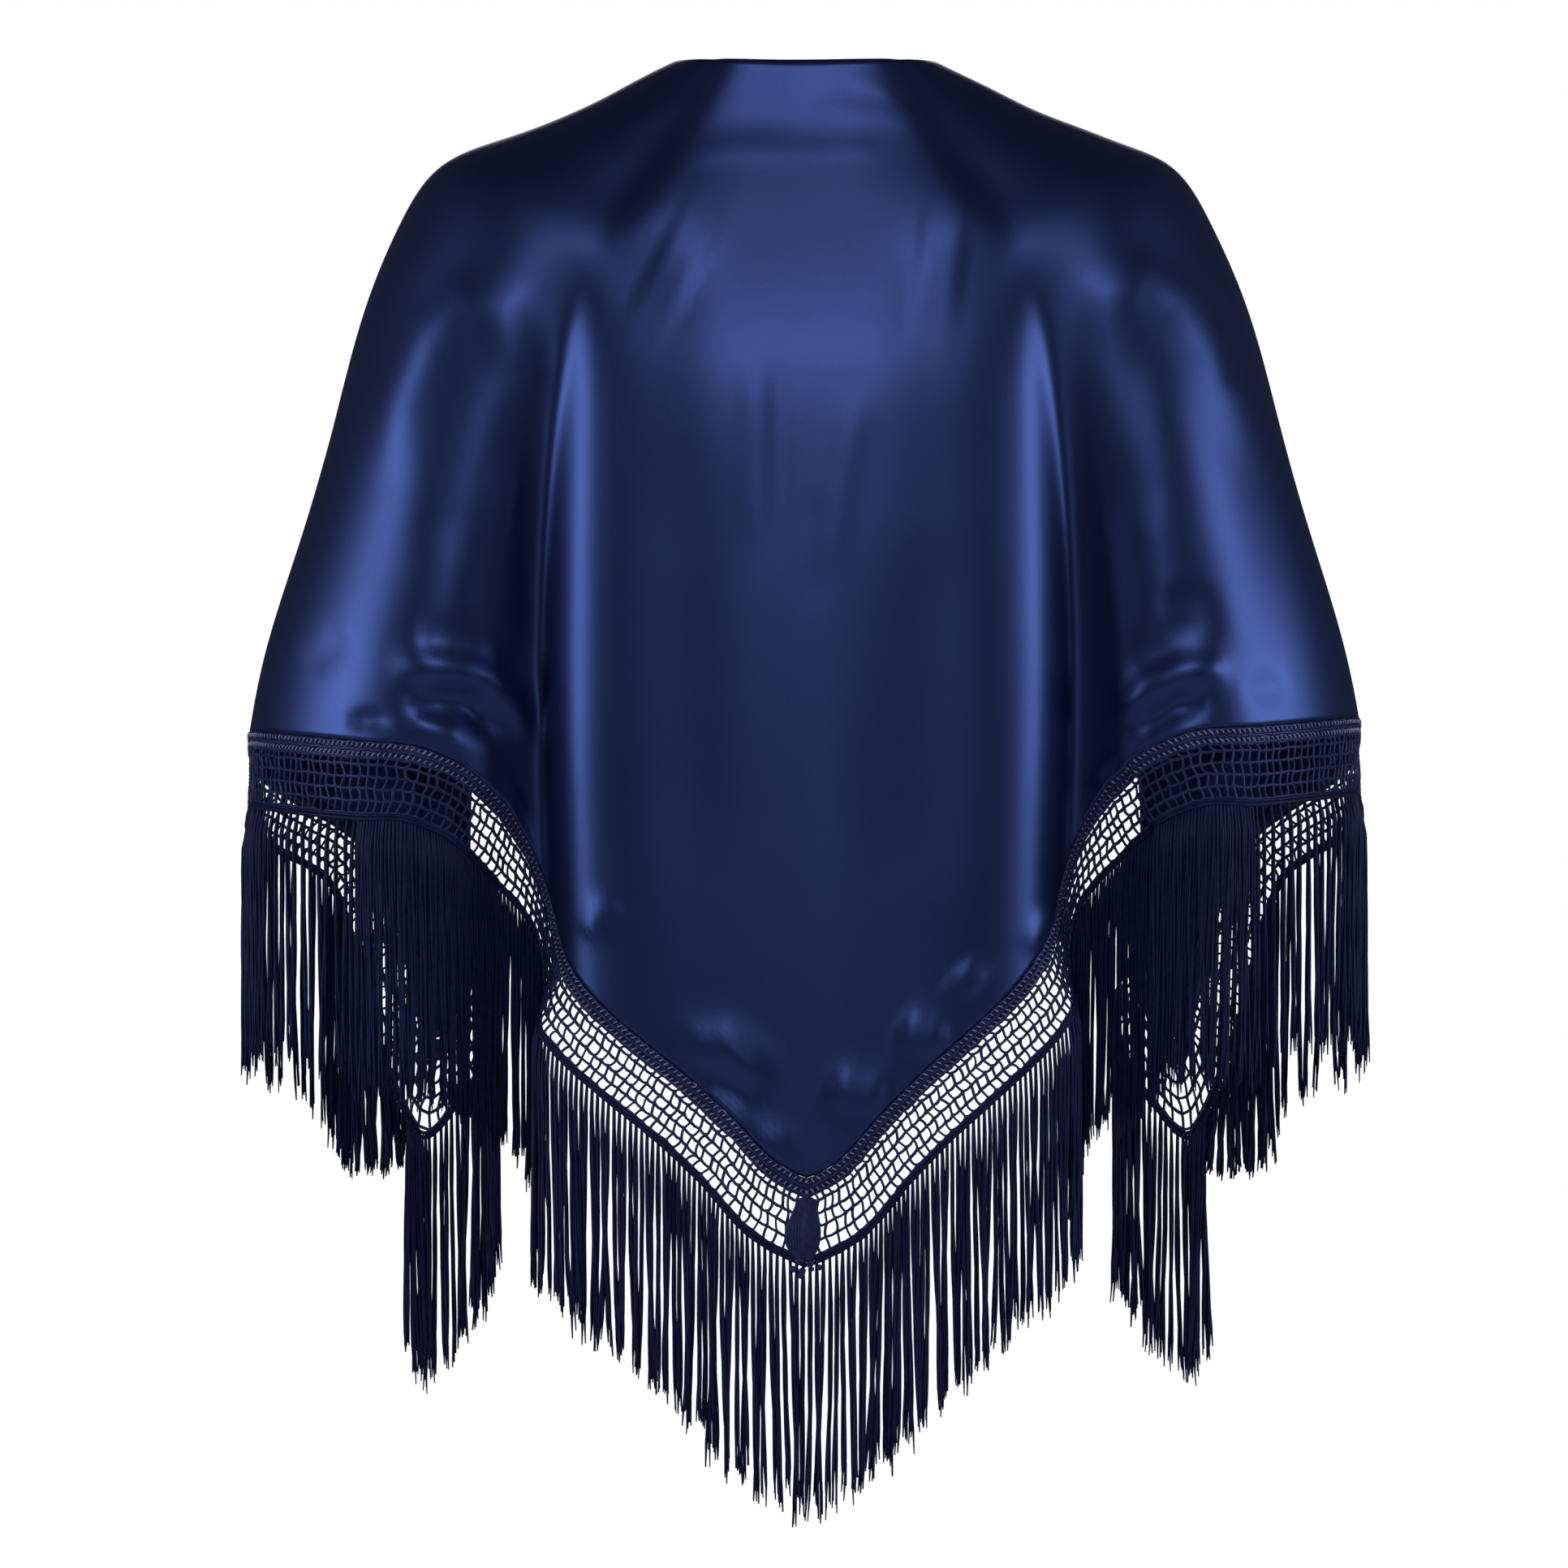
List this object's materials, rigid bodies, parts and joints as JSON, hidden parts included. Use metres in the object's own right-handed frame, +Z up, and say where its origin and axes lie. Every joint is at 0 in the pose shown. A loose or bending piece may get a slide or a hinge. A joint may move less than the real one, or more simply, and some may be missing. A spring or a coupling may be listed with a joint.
{
  "type": "flamenco shawl",
  "caption": "Triangular navy satin shawl in the form it takes when worn, edged with a knotted net band and a long fringe.",
  "frame": {"origin": "midway between the shoulders, at the height where the cloth rests on them, mid-depth of the wearer", "axes": "+Z up, +Y the way the wearer faces, so the back of the shawl is towards -Y and the wearer's left is -X"},
  "size_m": [0.6597, 0.2301, 0.8433],
  "materials": {
    "satin": "satin weave",
    "cord": "knotted cord",
    "thread": "twisted thread"
  },
  "bodies": {
    "root": {"satin_cloth": "satin", "heading_left": "cord", "heading_right": "cord", "net_back_left": "cord", "net_sleeve_left": "cord", "net_front_left": "cord", "net_back_right": "cord", "net_sleeve_right": "cord", "net_front_right": "cord", "fringe_back_left": "thread", "fringe_sleeve_left": "thread", "fringe_front_left": "thread", "fringe_back_right": "thread", "fringe_sleeve_right": "thread", "fringe_front_right": "thread"}
  },
  "joints": []
}
